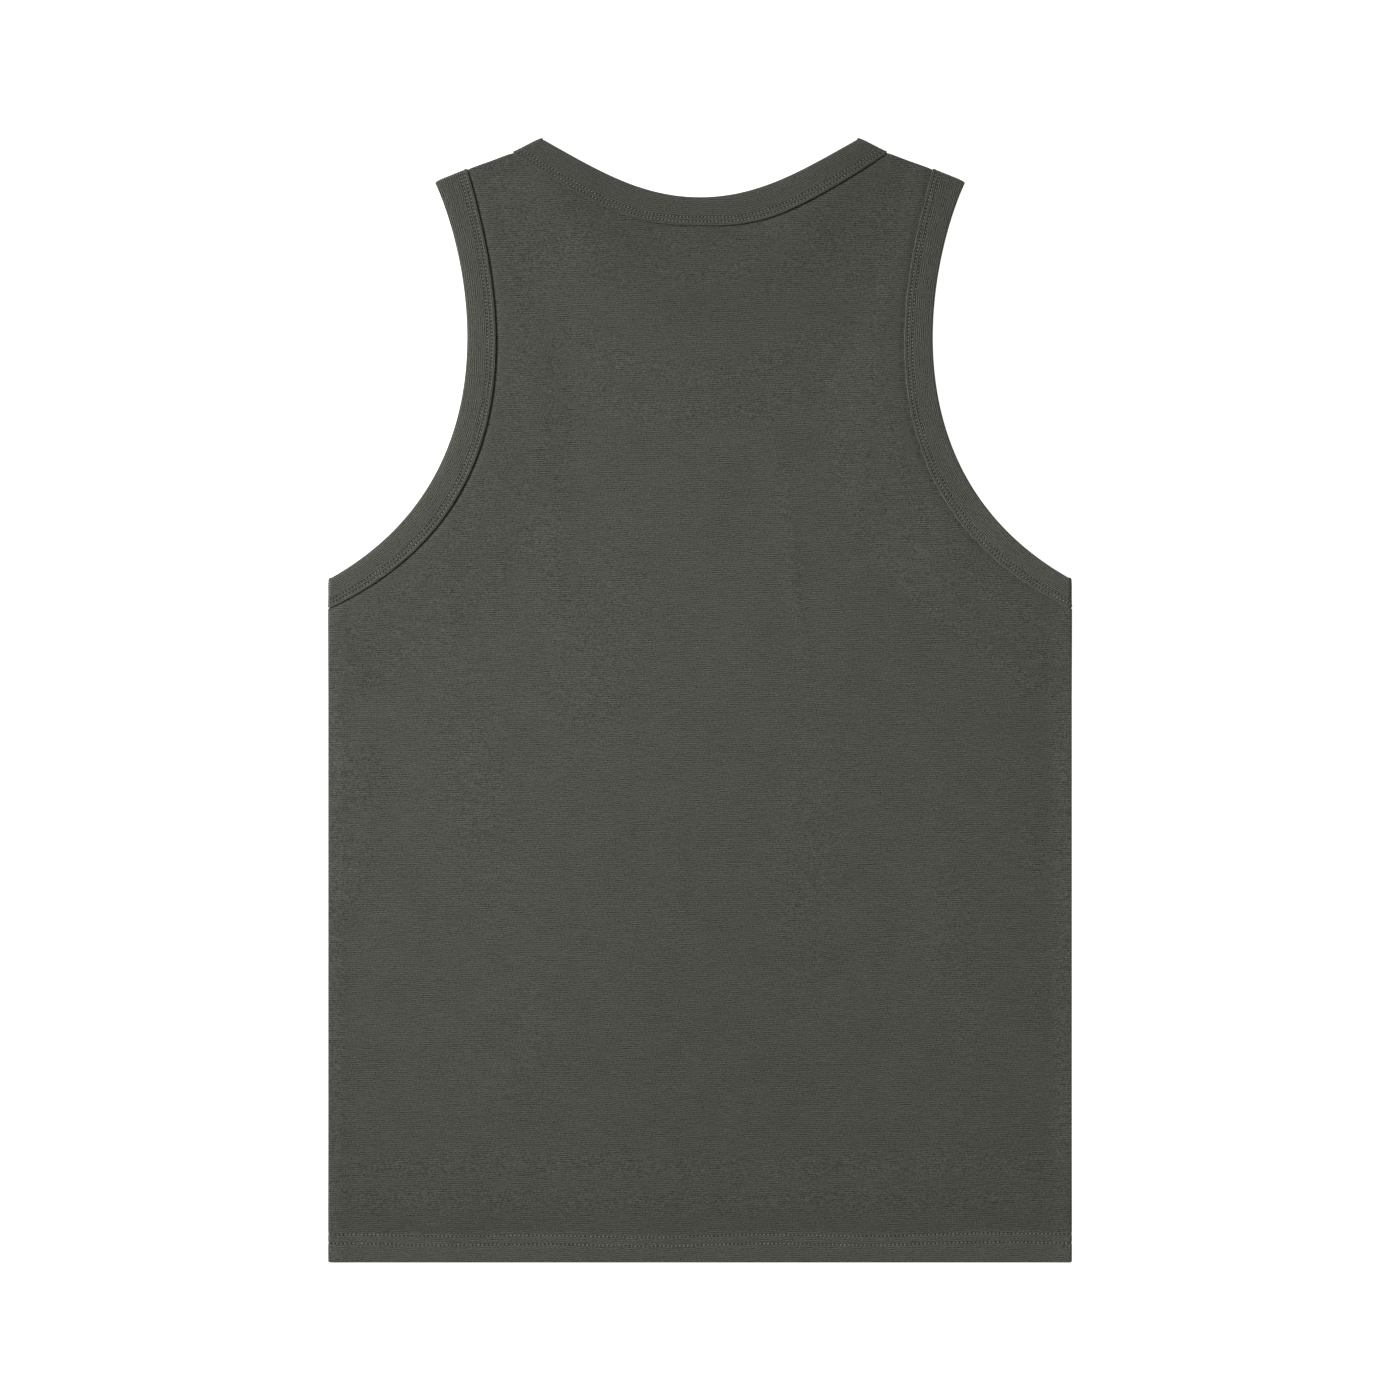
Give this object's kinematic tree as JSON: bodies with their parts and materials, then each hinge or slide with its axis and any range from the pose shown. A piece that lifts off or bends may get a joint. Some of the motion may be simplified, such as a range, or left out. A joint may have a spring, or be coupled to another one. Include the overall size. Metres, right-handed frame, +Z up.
{
  "type": "tank top",
  "caption": "Sleeveless knit top laid flat, back uppermost, with a scooped neck, deep armholes, self-fabric bound edges and a turned-up hem.",
  "frame": {"origin": "on the surface that the garment lies on, under the middle of its bounding box", "axes": "+Z up from the surface to the back panel, +Y from the hem to the neck, +X to the right as seen from above"},
  "size_m": [0.5, 0.7556, 0.0079],
  "materials": {
    "knit": "matt charcoal slub cotton knit with fine courses across the body",
    "band_knit": "the same matt charcoal knit, folded into bands with its ridges along them"
  },
  "bodies": {
    "root": {"back_panel": "knit", "front_panel": "knit", "neck_band": "band_knit", "armhole_band_left": "band_knit", "armhole_band_right": "band_knit"}
  },
  "joints": []
}
